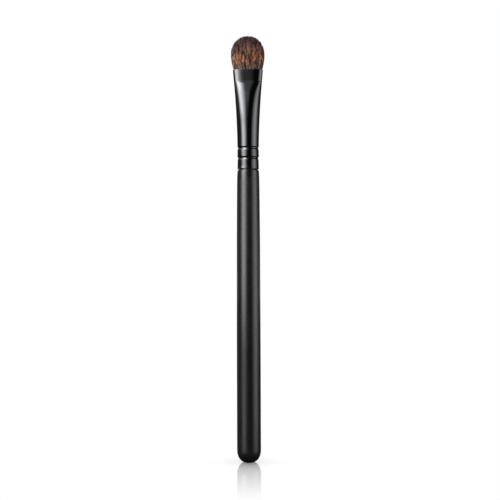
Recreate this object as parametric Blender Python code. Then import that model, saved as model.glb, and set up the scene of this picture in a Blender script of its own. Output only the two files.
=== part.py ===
"""Flat domed eye shadow brush, built from its separate pieces.

Metres, +Z up. The origin is the middle of the handle's butt end, and the
brush stands along +Z with its broad side facing -Y. A turned wooden handle
runs up into a drawn metal ferrule, whose mouth is pressed oval round a tied
knot of natural hair set in a cast resin plug.
"""
import bisect
import math
import random

import bmesh
import bpy

MM = 0.001
SEAT_GAP = 0.3 * MM  # glue line, or clearance, left between neighbouring pieces

# Heights above the butt end
TOTAL_LENGTH = 165.0 * MM
SHOULDER_TOP = 113.0 * MM
FERRULE_BOTTOM = SHOULDER_TOP + SEAT_GAP
LOWER_CRIMP = 117.45 * MM
UPPER_CRIMP = 121.25 * MM
CREASE = 146.5 * MM  # lower edge of the band that the press grips
MOUTH = 151.65 * MM
BELLY = 157.5 * MM  # widest part of the hair, where its dome begins

# Handle
HANDLE_SIDES = 40
BARREL_RADIUS = 4.63 * MM
BARREL_TAPER = 0.35 * MM  # how much slimmer the barrel is under the ferrule
TAPER_POWER = 4.2
BUTT_HEIGHT = 5.2 * MM
BUTT_POWER = 2.4  # 2 would be a half ellipsoid, and more is blunter
FOOT_RADIUS = 1.8 * MM  # small flat left where the butt was parted off
SHOULDER_LEAN = 0.07 * MM  # how far the last stretch below the shoulder leans in
LEAN_HEIGHT = 5.5 * MM
SHOULDER_ROUND = 0.7 * MM
TENON_RADIUS = 3.45 * MM
TENON_TOP = 130.5 * MM
TENON_CHAMFER = 0.7 * MM

# Ferrule, a drawn tube with a wall of even thickness
FERRULE_SIDES = 40
WALL = 0.35 * MM
LIP_ROUND = 0.12 * MM
RIM_FLARE = 0.08 * MM  # how far the cut end below the grooves spreads
RIM_HEIGHT = 0.8 * MM
LOWER_BAND_RADIUS = 4.13 * MM
UPPER_BAND_RADIUS = 4.17 * MM
NECK_RADIUS = 4.18 * MM
CRIMP_DEPTH = 0.24 * MM
CRIMP_WIDTH = 1.4 * MM
MOUTH_HALF_WIDTH = 5.87 * MM
FLARE_POWER = 1.7  # how late the tube spreads towards its mouth
PRESSED_HALF_THICKNESS = 2.05 * MM
PRESS_POWER = 4.5  # how late the round neck turns oval on its way to the crease
LEDGE_DEPTH = 0.25 * MM  # small step that the press leaves at the crease
LEDGE_HEIGHT = 0.5 * MM

# Thread that ties the root of the hair
THREAD_TURNS = 4
THREAD_DIAMETER = 0.55 * MM
BINDING_HEIGHT = THREAD_TURNS * THREAD_DIAMETER

# Knot of hair
KNOT_SIDES = 28
KNOT_BOTTOM = 138.0 * MM
KNOT_TOP = MOUTH - 1.0 * MM
KNOT_WAIST = 140.0 * MM
WAIST_PINCH = 0.25 * MM
ROOT_HALF_WIDTH = 3.25 * MM
ROOT_HALF_THICKNESS = 2.35 * MM
BELLY_HALF_WIDTH = 6.56 * MM
BELLY_HALF_THICKNESS = 2.8 * MM
TIP_HALF_WIDTH = 5.75 * MM
TIP_HALF_THICKNESS = 2.2 * MM
DOME_POWER = 2.05  # 2 would be an ellipsoid, and more is fuller towards its top

# Strands that stand on the knot, three-sided, swelling with the room they gain
STRAND_SIDES = 3
STRAND_PITCH = 0.24 * MM
STRAND_CLEARANCE = 0.205 * MM  # least room between the middles of two roots
STRAND_INSET = 0.15 * MM
STRAND_SUNK = 0.4 * MM  # how far a strand starts below the knot's top
STRAND_BEND = 154.1 * MM  # height where the strands stop fanning out so fast
STRAND_POINT = 2.4 * MM  # length over which a strand tapers away
ROOT_THICKNESS = 0.085 * MM
BEND_THICKNESS = 0.105 * MM
POINT_THICKNESS = 0.115 * MM
ROOT_SCATTER = 0.015 * MM
LENGTH_SCATTER = 0.2 * MM
SCATTER_SEED = 7

# Resin cast under the knot
PLUG_BOTTOM = TENON_TOP + SEAT_GAP
PLUG_TOP = KNOT_BOTTOM - SEAT_GAP
PLUG_DISH = 0.5 * MM  # hollow that the resin sets with on its open side


def clear_scene():
    for old in list(bpy.data.objects):
        bpy.data.objects.remove(old)


def finish_of(name, colour, roughness, metallic=0.0):
    material = bpy.data.materials.new(name)
    material.use_nodes = True
    shader = material.node_tree.nodes["Principled BSDF"]
    shader.inputs["Base Color"].default_value = (*colour, 1.0)
    shader.inputs["Roughness"].default_value = roughness
    shader.inputs["Metallic"].default_value = metallic
    return material


def add_object(name, bm, material, smooth_angle=math.radians(30)):
    bmesh.ops.recalc_face_normals(bm, faces=bm.faces)
    mesh = bpy.data.meshes.new(name)
    bm.to_mesh(mesh)
    bm.free()
    mesh.materials.append(material)
    mesh.shade_smooth()
    mesh.set_sharp_from_angle(angle=smooth_angle)
    obj = bpy.data.objects.new(name, mesh)
    bpy.context.scene.collection.objects.link(obj)
    return obj


def turned(name, profile, sides, material):
    """A solid of revolution about Z, from (radius, height) points that start and end off the axis."""
    bm = bmesh.new()
    points = [bm.verts.new((radius, 0.0, height)) for radius, height in profile]
    edges = [bm.edges.new(pair) for pair in zip(points, points[1:])]
    bmesh.ops.spin(bm, geom=points + edges, cent=(0, 0, 0), axis=(0, 0, 1),
                   angle=math.tau, steps=sides, use_merge=True)
    bmesh.ops.holes_fill(bm, edges=bm.edges, sides=sides)
    return add_object(name, bm, material)


def oval_ring(bm, half_width, half_thickness, height, sides):
    """One ring of a tube that has been pressed oval."""
    ring = []
    for index in range(sides):
        turn = math.tau * (index + 0.5) / sides
        ring.append(bm.verts.new((half_width * math.cos(turn), half_thickness * math.sin(turn), height)))
    return ring


def skin(bm, rings, closed):
    """Quads from each ring to the next. A closed skin is a tube's wall, and an open one is capped."""
    pairs = list(zip(rings, rings[1:]))
    if closed:
        pairs.append((rings[-1], rings[0]))
    for low, high in pairs:
        for index in range(len(low)):
            after = (index + 1) % len(low)
            bm.faces.new((low[index], low[after], high[after], high[index]))
    if not closed:
        bm.faces.new(rings[0])
        bm.faces.new(rings[-1])


def lofted(name, sections, sides, material, closed=False):
    """A solid through (half_width, half_thickness, height) sections."""
    bm = bmesh.new()
    skin(bm, [oval_ring(bm, *section, sides) for section in sections], closed)
    return add_object(name, bm, material)


def crimp_depth(height):
    """How far the rolled grooves press the tube in at this height."""
    for middle in (LOWER_CRIMP, UPPER_CRIMP):
        offset = abs(height - middle)
        if offset < CRIMP_WIDTH / 2:
            return CRIMP_DEPTH * (1 + math.cos(math.tau * offset / CRIMP_WIDTH)) / 2
    return 0.0


def crimp_heights(middle):
    return [middle + CRIMP_WIDTH * share for share in (-0.5, -0.25, 0.0, 0.25, 0.5)]


def tube_half_width(height):
    spread = ((height - UPPER_CRIMP) / (MOUTH - UPPER_CRIMP)) ** FLARE_POWER
    return NECK_RADIUS + (MOUTH_HALF_WIDTH - NECK_RADIUS) * spread


def tube_section(height):
    """Half width and half thickness of the ferrule's outside, before the crimps."""
    if height <= UPPER_CRIMP:
        radius = LOWER_BAND_RADIUS if height <= LOWER_CRIMP else UPPER_BAND_RADIUS
        low = max(0.0, 1 - (height - FERRULE_BOTTOM) / RIM_HEIGHT)
        return radius + RIM_FLARE * low ** 2, radius + RIM_FLARE * low ** 2
    half_width = tube_half_width(height)
    if height > CREASE:
        share = min((height - CREASE) / LEDGE_HEIGHT, 1.0)
        return half_width, PRESSED_HALF_THICKNESS + LEDGE_DEPTH * (1 - share)
    pressed = ((height - UPPER_CRIMP) / (CREASE - UPPER_CRIMP)) ** PRESS_POWER
    return half_width, half_width - (tube_half_width(CREASE) - PRESSED_HALF_THICKNESS - LEDGE_DEPTH) * pressed


def handle_profile():
    """Outline from the foot, round the domed butt, up the barrel and over the shoulder to the tenon."""
    dome_start = math.asin((FOOT_RADIUS / BARREL_RADIUS) ** (BUTT_POWER / 2))
    dome_steps = 9
    profile = []
    for step in range(dome_steps + 1):
        turn = dome_start + (math.pi / 2 - dome_start) * step / dome_steps
        rise = math.cos(dome_start) ** (2 / BUTT_POWER) - abs(math.cos(turn)) ** (2 / BUTT_POWER)
        profile.append((BARREL_RADIUS * math.sin(turn) ** (2 / BUTT_POWER), BUTT_HEIGHT * rise))

    barrel_bottom = profile[-1][1]
    barrel_top = SHOULDER_TOP - SHOULDER_ROUND
    lean_start = barrel_top - LEAN_HEIGHT
    barrel_steps, lean_steps = 9, 3
    heights = [barrel_bottom + (lean_start - barrel_bottom) * step / barrel_steps
               for step in range(1, barrel_steps + 1)]
    heights += [lean_start + LEAN_HEIGHT * step / lean_steps for step in range(1, lean_steps + 1)]
    for height in heights:
        share = (height - barrel_bottom) / (barrel_top - barrel_bottom)
        lean = max(0.0, (height - lean_start) / LEAN_HEIGHT) ** 2
        profile.append((BARREL_RADIUS - BARREL_TAPER * share ** TAPER_POWER - SHOULDER_LEAN * lean, height))

    shoulder_radius = profile[-1][0] - SHOULDER_ROUND
    for turn in (math.radians(30), math.radians(60), math.radians(90)):
        profile.append((shoulder_radius + SHOULDER_ROUND * math.cos(turn),
                        barrel_top + SHOULDER_ROUND * math.sin(turn)))

    profile.append((TENON_RADIUS, SHOULDER_TOP))
    for middle in (LOWER_CRIMP, UPPER_CRIMP):
        profile += [(TENON_RADIUS - crimp_depth(height), height) for height in crimp_heights(middle)]
    profile.append((TENON_RADIUS, TENON_TOP - TENON_CHAMFER))
    profile.append((TENON_RADIUS - TENON_CHAMFER, TENON_TOP))
    return profile


def make_handle(material):
    return turned("handle", handle_profile(), HANDLE_SIDES, material)


def ferrule_heights():
    """Rings of the ferrule between its two lips, closest where the press bends it."""
    heights = [FERRULE_BOTTOM + LIP_ROUND, FERRULE_BOTTOM + RIM_HEIGHT / 2, FERRULE_BOTTOM + RIM_HEIGHT]
    heights += crimp_heights(LOWER_CRIMP) + crimp_heights(UPPER_CRIMP)
    bend_start = UPPER_CRIMP + CRIMP_WIDTH / 2
    bend_steps = 12
    for step in range(1, bend_steps + 1):
        share = step / bend_steps
        heights.append(bend_start + (CREASE - bend_start) * (1 - (1 - share) ** 1.5))
    heights += [CREASE + LEDGE_HEIGHT, MOUTH - LIP_ROUND]
    return heights


def make_ferrule(material):
    def ring(height, depth):
        """Section at a depth below the tube's outside."""
        half_width, half_thickness = tube_section(height)
        return half_width - depth, half_thickness - depth, height

    outside = [ring(height, crimp_depth(height)) for height in ferrule_heights()]
    inside = [ring(height, crimp_depth(height) + WALL) for height in ferrule_heights()]
    mouth_lip = [ring(MOUTH, LIP_ROUND), ring(MOUTH, WALL - LIP_ROUND)]
    bottom_lip = [ring(FERRULE_BOTTOM, WALL - LIP_ROUND), ring(FERRULE_BOTTOM, LIP_ROUND)]
    sections = outside + mouth_lip + inside[::-1] + bottom_lip
    return lofted("ferrule", sections, FERRULE_SIDES, material, closed=True)


def knot_section(height):
    """Half width and thickness of the bound hair, from its tied root to where it fills the pressed band."""
    share = min((height - KNOT_BOTTOM) / (CREASE - KNOT_BOTTOM), 1.0)
    grown = share * share * (3 - 2 * share)
    half_width = tube_half_width(height) - WALL - SEAT_GAP
    half_thickness = PRESSED_HALF_THICKNESS - WALL - SEAT_GAP
    pinch = WAIST_PINCH * math.exp(-((height - KNOT_WAIST) / (BINDING_HEIGHT / 2)) ** 2)
    return (ROOT_HALF_WIDTH + (half_width - ROOT_HALF_WIDTH) * grown - pinch,
            ROOT_HALF_THICKNESS + (half_thickness - ROOT_HALF_THICKNESS) * grown - pinch)


def hair_outline(height):
    """Half width and half thickness of the hair above the knot, where strands stand."""
    half_width, half_thickness = knot_section(KNOT_TOP)
    if height < BELLY:
        opened = 1 - ((BELLY - height) / (BELLY - KNOT_TOP)) ** 2
        return (half_width + (BELLY_HALF_WIDTH - half_width) * opened,
                half_thickness + (BELLY_HALF_THICKNESS - half_thickness) * opened)
    closed = ((height - BELLY) / (TOTAL_LENGTH - BELLY)) ** 2
    return (BELLY_HALF_WIDTH + (TIP_HALF_WIDTH - BELLY_HALF_WIDTH) * closed,
            BELLY_HALF_THICKNESS + (TIP_HALF_THICKNESS - BELLY_HALF_THICKNESS) * closed)


def on_outline(direction, reach, height):
    """Point at a share of the way out to the hair's outline, in a direction that every height shares."""
    half_width, half_thickness = hair_outline(height)
    return half_width * reach * math.cos(direction), half_thickness * reach * math.sin(direction)


def strand_tip(direction, reach):
    """Height at which a strand meets the dome that the knot is shaped to."""
    height = TOTAL_LENGTH
    while height > MOUTH:
        x, y = on_outline(direction, reach, height)
        width_share = math.hypot(x / BELLY_HALF_WIDTH, y / BELLY_HALF_THICKNESS)
        rise_share = max(0.0, height - BELLY) / (TOTAL_LENGTH - BELLY)
        if width_share ** DOME_POWER + rise_share ** DOME_POWER <= 1.0:
            return height
        height -= 0.05 * MM
    return height


def even_turns(half_width, half_thickness, pitch, start):
    """Turns round an oval that are a pitch apart along its edge, the first one a share of a pitch on."""
    steps = 720
    lengths, turns = [0.0], [0.0]
    for step in range(steps):
        turn = math.tau * (step + 0.5) / steps
        stretch = math.hypot(half_width * math.sin(turn), half_thickness * math.cos(turn))
        lengths.append(lengths[-1] + stretch * math.tau / steps)
        turns.append(math.tau * (step + 1) / steps)
    count = round(lengths[-1] / pitch)
    wanted = [lengths[-1] * (index + start) / count for index in range(count)]
    return [turns[bisect.bisect_left(lengths, length)] for length in wanted]


def strand_roots(rng):
    """Roots in rows that run round inside the knot's edge, as (direction, reach) on its outline."""
    edge_width, edge_thickness = knot_section(KNOT_TOP)
    places = []
    inset = STRAND_INSET
    while edge_thickness - inset > STRAND_PITCH / 2:
        half_width, half_thickness = edge_width - inset, edge_thickness - inset
        for turn in even_turns(half_width, half_thickness, STRAND_PITCH, rng.random()):
            place = (half_width * math.cos(turn) + rng.uniform(-ROOT_SCATTER, ROOT_SCATTER),
                     half_thickness * math.sin(turn) + rng.uniform(-ROOT_SCATTER, ROOT_SCATTER))
            if all(math.dist(place, other) > STRAND_CLEARANCE for other in places):
                places.append(place)
        inset += STRAND_PITCH
    shares = [(x / edge_width, y / edge_thickness) for x, y in places]
    return [(math.atan2(through, across), math.hypot(across, through)) for across, through in shares]


def add_strand(bm, direction, reach, tip, twist):
    """A strand from its root through its bend to its point, on the line that its direction sets."""
    taper = min(STRAND_POINT, (tip - STRAND_BEND) / 2)
    rings = []
    for height, radius in ((KNOT_TOP - STRAND_SUNK, ROOT_THICKNESS), (STRAND_BEND, BEND_THICKNESS),
                           (tip - taper, POINT_THICKNESS)):
        x, y = on_outline(direction, reach, max(height, KNOT_TOP))
        ring = []
        for side in range(STRAND_SIDES):
            turn = twist + math.tau * side / STRAND_SIDES
            ring.append(bm.verts.new((x + radius * math.cos(turn), y + radius * math.sin(turn), height)))
        rings.append(ring)
    point = bm.verts.new((*on_outline(direction, reach, tip), tip))
    for low, high in zip(rings, rings[1:]):
        for index in range(STRAND_SIDES):
            after = (index + 1) % STRAND_SIDES
            bm.faces.new((low[index], low[after], high[after], high[index]))
    for index in range(STRAND_SIDES):
        bm.faces.new((rings[-1][index], rings[-1][(index + 1) % STRAND_SIDES], point))
    bm.faces.new(rings[0][::-1])


def make_hair(material):
    """The knot: a bound root inside the ferrule, and the strands that stand on it, joined as one body."""
    rng = random.Random(SCATTER_SEED)
    bm = bmesh.new()
    roots = strand_roots(rng)
    for direction, reach in roots:
        tip = strand_tip(direction, reach) - rng.random() * LENGTH_SCATTER
        add_strand(bm, direction, reach, tip, rng.random() * math.tau)
    strands = add_object("strands_to_join", bm, material)
    strands.hide_render = True
    strands.display_type = "WIRE"
    print("strands of hair:", len(roots))

    steps = 12
    heights = [KNOT_BOTTOM + (KNOT_TOP - KNOT_BOTTOM) * step / steps for step in range(steps + 1)]
    sections = [(*knot_section(height), height) for height in heights]
    knot = lofted("hair_tuft", sections, KNOT_SIDES, material)
    union = knot.modifiers.new("strands", "BOOLEAN")
    union.operation = "UNION"
    union.object = strands
    return knot


def make_binding(material):
    """Waxed thread wound round the root: turns that touch, drawn as one scalloped ring on the waist."""
    outside, inside = [], []
    bottom = KNOT_WAIST - BINDING_HEIGHT / 2
    steps_per_turn = 4
    groove = 0.35  # thickness left between two turns, as a share of the thread's own
    for step in range(THREAD_TURNS * steps_per_turn + 1):
        height = bottom + THREAD_DIAMETER * step / steps_per_turn
        half_width, half_thickness = (half + SEAT_GAP for half in knot_section(height))
        scallop = THREAD_DIAMETER * (groove + (1 - groove) * abs(math.sin(math.pi * step / steps_per_turn)))
        outside.append((half_width + scallop, half_thickness + scallop, height))
        if step % steps_per_turn == 0:
            inside.append((half_width, half_thickness, height))
    return lofted("root_binding", outside + inside[::-1], KNOT_SIDES, material, closed=True)


def make_plug(material):
    """Resin cast on the hair's root. It fills the tube, and sets with a shallow hollow on its open side."""
    sections = []
    steps = 5
    for step in range(steps + 1):
        height = PLUG_BOTTOM + (PLUG_TOP - PLUG_BOTTOM) * step / steps
        half_width, half_thickness = tube_section(height)
        sections.append((half_width - WALL - SEAT_GAP, half_thickness - WALL - SEAT_GAP, height))
    half_width, half_thickness, _ = sections[0]
    hollow = []
    for share in (0.25, 0.6, 0.9):
        height = PLUG_BOTTOM + PLUG_DISH * math.sqrt(1 - share ** 2)
        hollow.append((half_width * share, half_thickness * share, height))
    return lofted("resin_plug", hollow + sections, KNOT_SIDES, material)


def main():
    clear_scene()
    make_handle(finish_of("black_lacquer", (0.012, 0.012, 0.013), 0.38))
    make_ferrule(finish_of("black_metal", (0.02, 0.02, 0.022), 0.22, 0.9))
    make_hair(finish_of("brown_hair", (0.09, 0.045, 0.03), 0.55))
    make_binding(finish_of("waxed_thread", (0.62, 0.57, 0.48), 0.7))
    make_plug(finish_of("amber_resin", (0.5, 0.33, 0.14), 0.25))


main()
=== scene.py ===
import math

import bmesh
import bpy
import numpy as np
from mathutils import Matrix, Vector


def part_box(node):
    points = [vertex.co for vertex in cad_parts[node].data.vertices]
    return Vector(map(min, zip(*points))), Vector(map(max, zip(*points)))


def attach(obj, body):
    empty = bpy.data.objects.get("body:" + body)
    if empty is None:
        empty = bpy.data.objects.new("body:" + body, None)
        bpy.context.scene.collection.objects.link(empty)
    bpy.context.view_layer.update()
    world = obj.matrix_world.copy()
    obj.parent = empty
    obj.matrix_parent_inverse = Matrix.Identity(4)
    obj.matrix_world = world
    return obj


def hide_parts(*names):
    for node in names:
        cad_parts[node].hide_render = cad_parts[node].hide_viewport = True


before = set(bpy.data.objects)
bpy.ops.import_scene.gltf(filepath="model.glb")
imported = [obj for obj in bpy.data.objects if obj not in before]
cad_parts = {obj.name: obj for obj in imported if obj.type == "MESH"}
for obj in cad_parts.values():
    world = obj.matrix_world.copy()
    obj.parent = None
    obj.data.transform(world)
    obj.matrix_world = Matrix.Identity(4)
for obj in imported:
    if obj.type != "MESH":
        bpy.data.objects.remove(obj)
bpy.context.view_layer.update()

mm = 0.001
seatGap = 0.3 * mm  # glue line between neighbouring pieces
scene = bpy.context.scene
scene.view_settings.view_transform = "Standard"


# Camera: level, at the height of the picture's middle

cameraLook = {
    "distance": 330 * mm,
    "height": 82.0 * mm,
    "aside": 0.6 * mm,
    "side": 3.5,  # degrees to the right of square on, by which the lamps and the world turn too
    "roll": 0.18,  # degrees
    "viewWidth": 193.57 * mm,  # what the frame takes in at the brush's axis
}


def addCamera(look):
    data = bpy.data.cameras.new("camera")
    data.lens = data.sensor_width * look["distance"] / look["viewWidth"]
    data.clip_start = 10 * mm
    camera = bpy.data.objects.new("camera", data)
    scene.collection.objects.link(camera)
    turn = Matrix.Rotation(math.radians(90), 4, "X") @ Matrix.Rotation(math.radians(-look["roll"]), 4, "Z")
    side = Matrix.Rotation(math.radians(look["side"]), 4, "Z")
    camera.matrix_world = side @ Matrix.Translation((look["aside"], -look["distance"], look["height"])) @ turn
    scene.camera = camera


addCamera(cameraLook)
print("camera set")


# Small helpers for node trees

def addNode(tree, kind, inputs=None, **settings):  # an input that is a socket is linked, and a value is set
    node = tree.nodes.new("ShaderNode" + kind)
    for name, value in settings.items():
        setattr(node, name, value)
    for name, value in (inputs or {}).items():
        if isinstance(value, bpy.types.NodeSocket):
            tree.links.new(value, node.inputs[name])
        else:
            node.inputs[name].default_value = value
    return node


def mathNode(tree, operation, *values):
    return addNode(tree, "Math", dict(enumerate(values)), operation=operation).outputs[0]


def multiply(tree, product, *factors):
    for factor in factors:
        product = mathNode(tree, "MULTIPLY", product, factor)
    return product


def addShare(tree, value, share, base):  # base + share * value
    return mathNode(tree, "MULTIPLY_ADD", value, share, base)


def remap(tree, value, start, end, low=0.0, high=1.0, smooth=False):
    inputs = {"Value": value, "From Min": start, "From Max": end, "To Min": low, "To Max": high}
    kind = "SMOOTHSTEP" if smooth else "LINEAR"
    return addNode(tree, "MapRange", inputs, interpolation_type=kind).outputs[0]


def mixColour(tree, share, first, second):
    return addNode(tree, "Mix", {0: share, 6: first, 7: second}, data_type="RGBA").outputs[2]


def axisOf(tree, vector, axis):
    return addNode(tree, "SeparateXYZ", {0: vector}).outputs[axis]


def inCells(tree, place, across, along):  # the place, counted in cells of this size
    cell = addNode(tree, "CombineXYZ", {"X": across, "Y": across, "Z": along}).outputs[0]
    return addNode(tree, "VectorMath", {0: place, 1: cell}, operation="DIVIDE").outputs[0]


def rgb(red, green, blue):  # a colour as a screen shows it, 0 to 255, made linear
    linear = []
    for level in (red / 255, green / 255, blue / 255):
        linear.append(level / 12.92 if level <= 0.04045 else ((level + 0.055) / 1.055) ** 2.4)
    return (*linear, 1.0)


def colourRamp(tree, value, places, tones):
    node = addNode(tree, "ValToRGB", {"Fac": value})
    elements = node.color_ramp.elements
    while len(elements) < len(places):
        elements.new(0.5)
    for element, place, tone in zip(elements, places, tones):
        element.position = place
        element.color = tone
    return node.outputs["Color"]


# Effects that the finishes are built from. Each takes a place on the piece, and the values that it names

def startGroup(name, values, results):
    group = bpy.data.node_groups.new(name, "ShaderNodeTree")
    group.interface.new_socket("Place", in_out="INPUT", socket_type="NodeSocketVector")
    for label in values:
        group.interface.new_socket(label, in_out="INPUT", socket_type="NodeSocketFloat")
    for label in results:
        group.interface.new_socket(label, in_out="OUTPUT", socket_type="NodeSocketFloat")
    return group, group.nodes.new("NodeGroupInput").outputs, group.nodes.new("NodeGroupOutput").inputs


def placeGroup(tree, group, inputs):
    return addNode(tree, "Group", inputs, node_tree=group).outputs


def makeFineGrain():  # a close grain, which can be drawn out along Z, and a slow change of tone
    group, wanted, given = startGroup("fineGrain", ("Size", "Stretch"), ("Height", "Tone"))
    long = multiply(group, wanted["Size"], wanted["Stretch"])
    place = inCells(group, wanted["Place"], wanted["Size"], long)
    fine = addNode(group, "TexNoise", {"Vector": place, "Scale": 1.0, "Detail": 3.0, "Roughness": 0.6})
    slow = addNode(group, "TexNoise", {"Vector": place, "Scale": 0.07, "Detail": 2.0, "Roughness": 0.5})
    group.links.new(fine.outputs[0], given["Height"])
    group.links.new(remap(group, slow.outputs[0], 0.3, 0.7), given["Tone"])
    return group


def makeDustFilm():  # scattered specks, and a faint haze between them
    group, wanted, given = startGroup("dustFilm", ("Spacing", "Cover"), ("Specks", "Haze"))
    place = inCells(group, wanted["Place"], wanted["Spacing"], wanted["Spacing"])
    cells = addNode(group, "TexVoronoi", {"Vector": place, "Scale": 1.0})
    draw = addNode(group, "SeparateColor", {"Color": cells.outputs["Color"]}).outputs[0]
    chosen = mathNode(group, "LESS_THAN", draw, wanted["Cover"])
    speck = remap(group, cells.outputs["Distance"], 0.05, 0.13, 1.0, 0.0, smooth=True)
    haze = addNode(group, "TexNoise", {"Vector": place, "Scale": 0.25, "Detail": 4.0})
    group.links.new(multiply(group, speck, chosen), given["Specks"])
    group.links.new(remap(group, haze.outputs[0], 0.42, 0.72), given["Haze"])
    return group


def makeEdgeWear():  # rubbed patches along the edges that a piece marks
    group, wanted, given = startGroup("edgeWear", ("Edge", "Size"), ("Mask",))
    place = inCells(group, wanted["Place"], wanted["Size"], wanted["Size"])
    patches = addNode(group, "TexNoise", {"Vector": place, "Scale": 1.0, "Detail": 5.0, "Roughness": 0.65})
    reach = addShare(group, wanted["Edge"], 0.5, patches.outputs[0])
    group.links.new(remap(group, reach, 0.84, 1.02, smooth=True), given["Mask"])
    return group


def makeHairStreaks():  # patches of hair that share a tone for a few millimetres of their length
    group, wanted, given = startGroup("hairStreaks", ("Width", "Length"), ("Broad", "Fine", "Fleck"))
    place = inCells(group, wanted["Place"], wanted["Width"], wanted["Length"])
    kinds = (("Broad", 5, 0.45, 0.36, 0.64), ("Fine", 4, 1.0, 0.4, 0.6), ("Fleck", 5, 0.8, 0.5, 0.66))
    for label, variant, scale, start, end in kinds:
        inputs = {"Vector": place, "Scale": scale, "Detail": 1.5, "W": variant}
        noise = addNode(group, "TexNoise", inputs, noise_dimensions="4D")
        group.links.new(remap(group, noise.outputs[0], start, end), given[label])
    return group


fineGrain = makeFineGrain()
dustFilm = makeDustFilm()
edgeWear = makeEdgeWear()
hairStreaks = makeHairStreaks()


def startMaterial(name):
    material = bpy.data.materials.new(name)
    material.use_nodes = True
    tree = material.node_tree
    shader = tree.nodes["Principled BSDF"]
    place = addNode(tree, "TexCoord").outputs["Object"]
    return material, tree, shader, place


def attributeOf(tree, name, output="Fac"):
    return addNode(tree, "Attribute", attribute_name=name).outputs[output]


def bumpOf(tree, height, strength, depth):
    return addNode(tree, "Bump", {"Height": height, "Strength": strength, "Distance": depth}).outputs[0]


# Helpers for pieces

def paint(mesh, name, values):
    values = np.asarray(values, np.float32)
    kind, field = ("FLOAT_VECTOR", "vector") if values.ndim == 2 else ("FLOAT", "value")
    mesh.attributes.new(name, kind, "POINT").data.foreach_set(field, values.ravel())


def finishPiece(name, bm, material, node, smoothAngle=40):
    mesh = bpy.data.meshes.new(name)
    bm.to_mesh(mesh)
    bm.free()
    mesh.materials.append(material)
    mesh.shade_smooth()
    mesh.set_sharp_from_angle(angle=math.radians(smoothAngle))
    piece = bpy.data.objects.new(name, mesh)
    scene.collection.objects.link(piece)
    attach(piece, "root")
    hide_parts(node)
    print(name, "made with", len(mesh.polygons), "faces")
    return piece


def placesOf(mesh):
    places = np.empty(len(mesh.vertices) * 3, np.float32)
    mesh.vertices.foreach_get("co", places)
    return places.reshape(-1, 3)


def markEdges(mesh, reach, edges):  # 1 at the height of an edge, and 0 beyond its reach
    heights = placesOf(mesh)[:, 2]
    away = np.abs(heights[:, None] - np.array(edges)).min(axis=1)
    paint(mesh, "edge", np.clip(1 - away / reach, 0, 1))


def raiseTube(heights, sides):  # a straight round tube of radius 1 with a ring at each height
    bm = bmesh.new()
    bmesh.ops.create_circle(bm, segments=sides, radius=1.0, matrix=Matrix.Translation((0, 0, heights[0])))
    edges = bm.edges[:]
    for low, high in zip(heights, heights[1:]):
        grown = bmesh.ops.extrude_edge_only(bm, edges=edges)["geom"]
        edges = [part for part in grown if isinstance(part, bmesh.types.BMEdge)]
        ring = [part for part in grown if isinstance(part, bmesh.types.BMVert)]
        bmesh.ops.translate(bm, verts=ring, vec=(0, 0, high - low))
    return bm


def pressOval(bm, sectionAt):  # the round tube is pressed to the section at each height
    for vert in bm.verts:
        halfWidth, halfThickness, fullness = sectionAt(vert.co.z)
        vert.co.y *= halfThickness * (1 + fullness * vert.co.x ** 2)
        vert.co.x *= halfWidth


# Ferrule: a drawn tube with two rolled crimps and an oval mouth

ferruleLow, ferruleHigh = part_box("ferrule")
ferruleLook = {
    "sides": 144,
    "wall": 0.35 * mm,
    "lipRound": 0.12 * mm,
    "lowerCrimp": 117.45 * mm,
    "upperCrimp": 121.25 * mm,
    "crimpDepth": 0.24 * mm,
    "crimpWidth": 1.4 * mm,
    "lowerBandRadius": 4.13 * mm,
    "upperBandRadius": 4.17 * mm,
    "bandLean": 0.013,  # the two bands narrow a little upwards
    "neckRadius": 4.18 * mm,
    "mouthHalfWidth": 5.87 * mm,
    "flarePower": 1.7,  # how late the tube spreads towards its mouth
    "crease": 146.5 * mm,  # lower edge of the band that the press grips
    "pressedHalfThickness": 2.05 * mm,
    "pressPower": 4.5,  # how late the round neck turns oval on its way to the crease
    "fullness": 0.38,  # 0 would be an oval, and more is flatter in front with rounder sides
    "fullnessPower": 2.5,
    "ledgeDepth": 0.25 * mm,
    "ledgeHeight": 0.6 * mm,
    "rimFlare": 0.08 * mm,  # the cut end spreads a little
    "rimFlareHeight": 0.8 * mm,
    "mouth": ferruleHigh.z,
    "bottom": ferruleLow.z,
    "ringSpacing": 0.6 * mm,
    "crimpRings": 16,
    "ledgeRings": 10,
    "edgeReach": 0.3 * mm,  # how far from its two ends the tube is rubbed
    "plating": ((0.104, 0.106, 0.11, 1), (0.118, 0.119, 0.122, 1)),  # the tones that it drifts between
    "bandShadePlating": (0.092, 0.093, 0.096, 1),  # painted shade: the two bands are a little darker, standing in for the dimmer light that they catch
    "bareMetal": (0.3, 0.29, 0.28, 1),
    "dust": (0.2, 0.195, 0.19, 1),
    "roughness": (0.07, 0.1),
}


def crimpDepth(height, look=ferruleLook):
    for middle in (look["lowerCrimp"], look["upperCrimp"]):
        offset = abs(height - middle) / look["crimpWidth"]
        if offset < 0.5:
            return look["crimpDepth"] * (1 + math.cos(math.tau * offset)) / 2
    return 0.0


def tubeHalfWidth(height, look=ferruleLook):
    rise = (height - look["upperCrimp"]) / (look["mouth"] - look["upperCrimp"])
    return look["neckRadius"] + (look["mouthHalfWidth"] - look["neckRadius"]) * rise ** look["flarePower"]


def tubeFullness(height, look=ferruleLook):
    rise = (height - look["upperCrimp"]) / (look["crease"] - look["upperCrimp"])
    return look["fullness"] * min(max(rise, 0.0), 1.0) ** look["fullnessPower"]


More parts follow.
